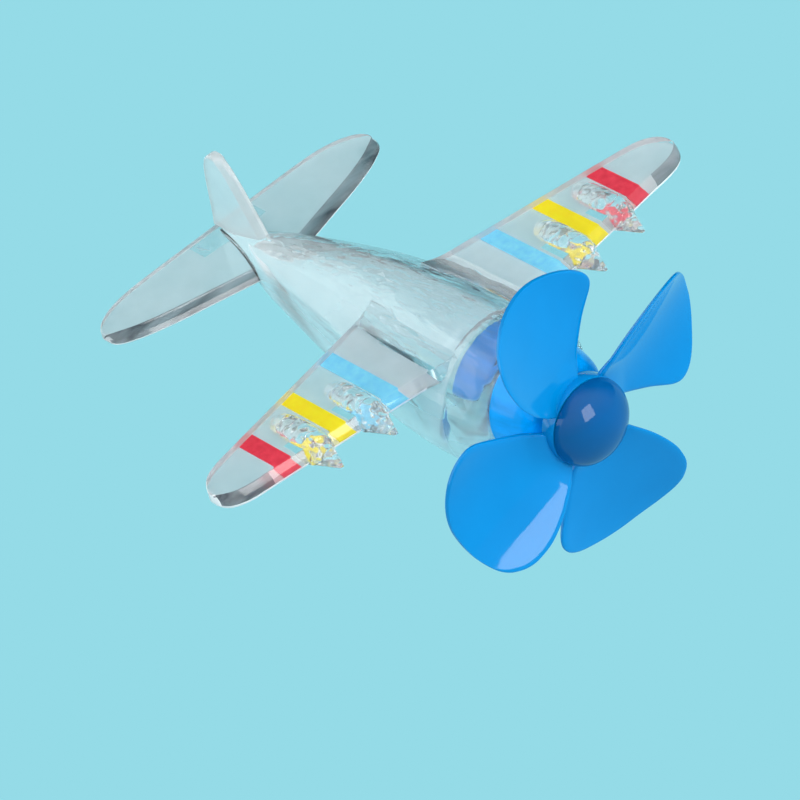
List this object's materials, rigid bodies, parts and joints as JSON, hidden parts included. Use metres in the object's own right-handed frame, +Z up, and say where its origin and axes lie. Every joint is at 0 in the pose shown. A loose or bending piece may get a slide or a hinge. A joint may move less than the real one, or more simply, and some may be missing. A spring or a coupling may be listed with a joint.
{
  "type": "toy airplane",
  "caption": "Clear hollow toy airplane with striped plate wings, clear engine pods, a pull-out blue nose cap and a free-spinning propeller with wide blades.",
  "frame": {"origin": "centre of the bounding box, on the propeller's axis, half-way between the spinner's tip and the fin's trailing edge", "axes": "nose towards -Y, port wing towards +X, +Z up in level flight"},
  "size_m": [0.1468, 0.1344, 0.0788],
  "materials": {
    "clear_plastic": "water-clear, glossy",
    "blue_plastic": "glossy moulded",
    "dark_blue_plastic": "polished moulded",
    "blue_stripe": "printed film",
    "yellow_stripe": "printed film",
    "red_stripe": "printed film",
    "steel": "bright drawn",
    "brass": "bright stamped"
  },
  "bodies": {
    "airframe": {"fuselage_shell": "clear_plastic", "port_wing": "clear_plastic", "starboard_wing": "clear_plastic", "port_tailplane": "clear_plastic", "starboard_tailplane": "clear_plastic", "tail_fin": "clear_plastic", "port_inner_nacelle": "clear_plastic", "port_outer_nacelle": "clear_plastic", "starboard_inner_nacelle": "clear_plastic", "starboard_outer_nacelle": "clear_plastic", "port_blue_stripe": "blue_stripe", "port_yellow_stripe": "yellow_stripe", "port_red_stripe": "red_stripe", "starboard_blue_stripe": "blue_stripe", "starboard_yellow_stripe": "yellow_stripe", "starboard_red_stripe": "red_stripe"},
    "nose_cap_unit": {"nose_cap": "blue_plastic", "axle_pin": "steel", "spacer_washer": "brass", "retaining_collar": "steel"},
    "propeller_unit": {"propeller": "blue_plastic", "spinner_dome": "dark_blue_plastic"}
  },
  "joints": [
    {"name": "nose_cap_pull", "type": "slide", "parent": "airframe", "child": "nose_cap_unit", "axis": [0, -1, 0], "range_m": [0, 0.018]},
    {"name": "propeller_spin", "type": "hinge", "parent": "nose_cap_unit", "child": "propeller_unit", "pos_m": [0, -0.0576, 0], "axis": [0, -1, 0], "continuous": true}
  ]
}
